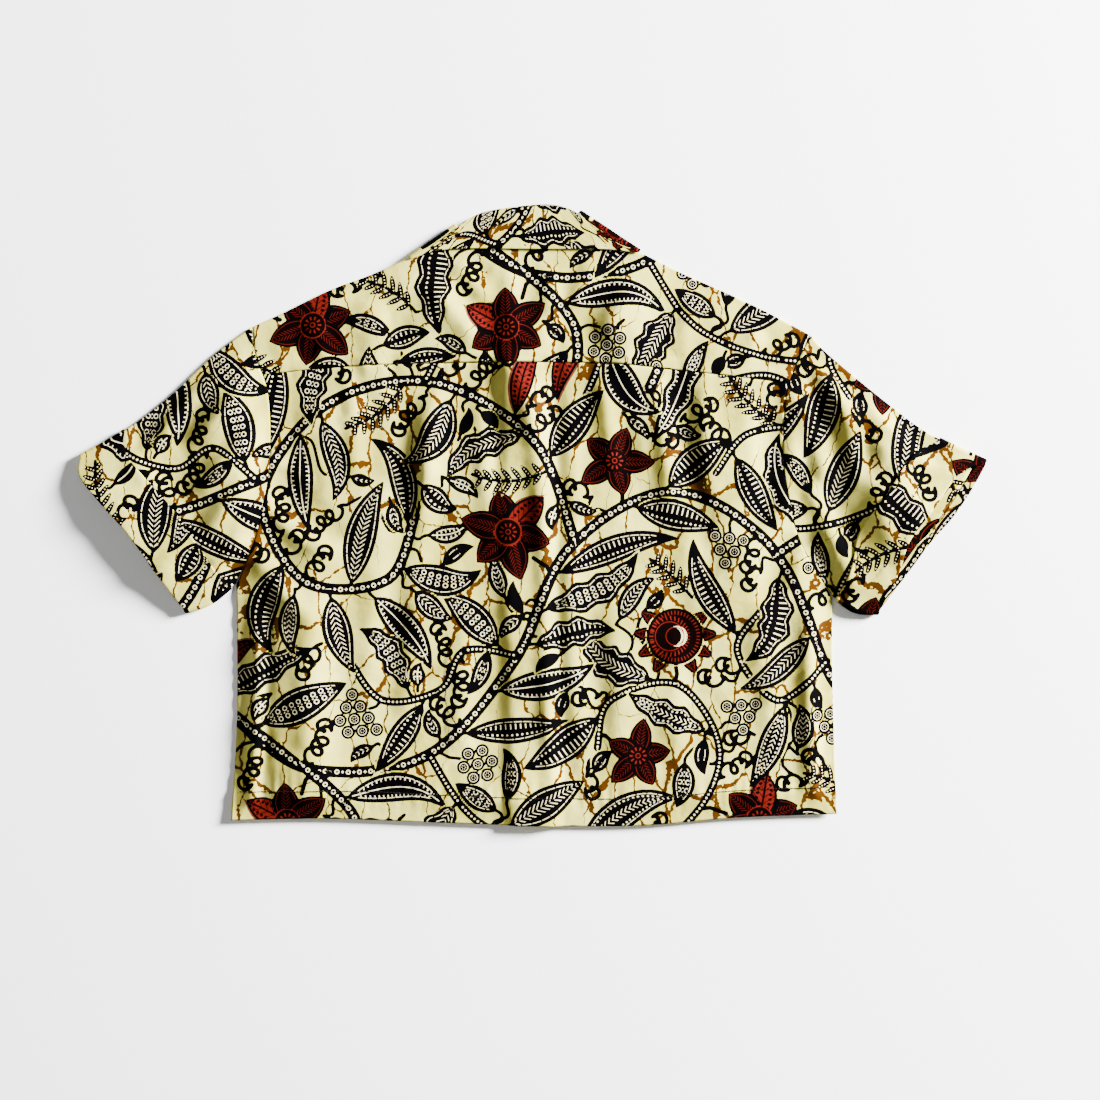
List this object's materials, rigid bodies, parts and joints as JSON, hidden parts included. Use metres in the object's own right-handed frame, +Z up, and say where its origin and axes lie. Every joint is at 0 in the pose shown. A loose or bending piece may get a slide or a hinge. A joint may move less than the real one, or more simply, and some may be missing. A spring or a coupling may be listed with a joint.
{
  "type": "camp-collar shirt",
  "caption": "Short-sleeved boxy shirt with a camp collar, back yoke and turned-up cuffs, printed all over with vines and leaves, laid flat with its back up.",
  "frame": {"origin": "centre of the shirt's box, on the surface that it lies on", "axes": "+Z up from the surface, +Y from the hem to the collar, +X towards the wearer's right sleeve"},
  "size_m": [0.846, 0.5794, 0.0124],
  "materials": {
    "printed_cotton": "matte cotton with a faint sheen, printed all over",
    "button": "dark horn, polished"
  },
  "bodies": {
    "root": {"yoke": "printed_cotton", "back": "printed_cotton", "collar": "printed_cotton", "front_left": "printed_cotton", "front_right": "printed_cotton", "sleeve_left": "printed_cotton", "sleeve_right": "printed_cotton", "cuff_left": "printed_cotton", "cuff_right": "printed_cotton", "lapel_left": "printed_cotton", "lapel_right": "printed_cotton", "button_1": "button", "button_2": "button", "button_3": "button", "button_4": "button", "button_5": "button"}
  },
  "joints": []
}
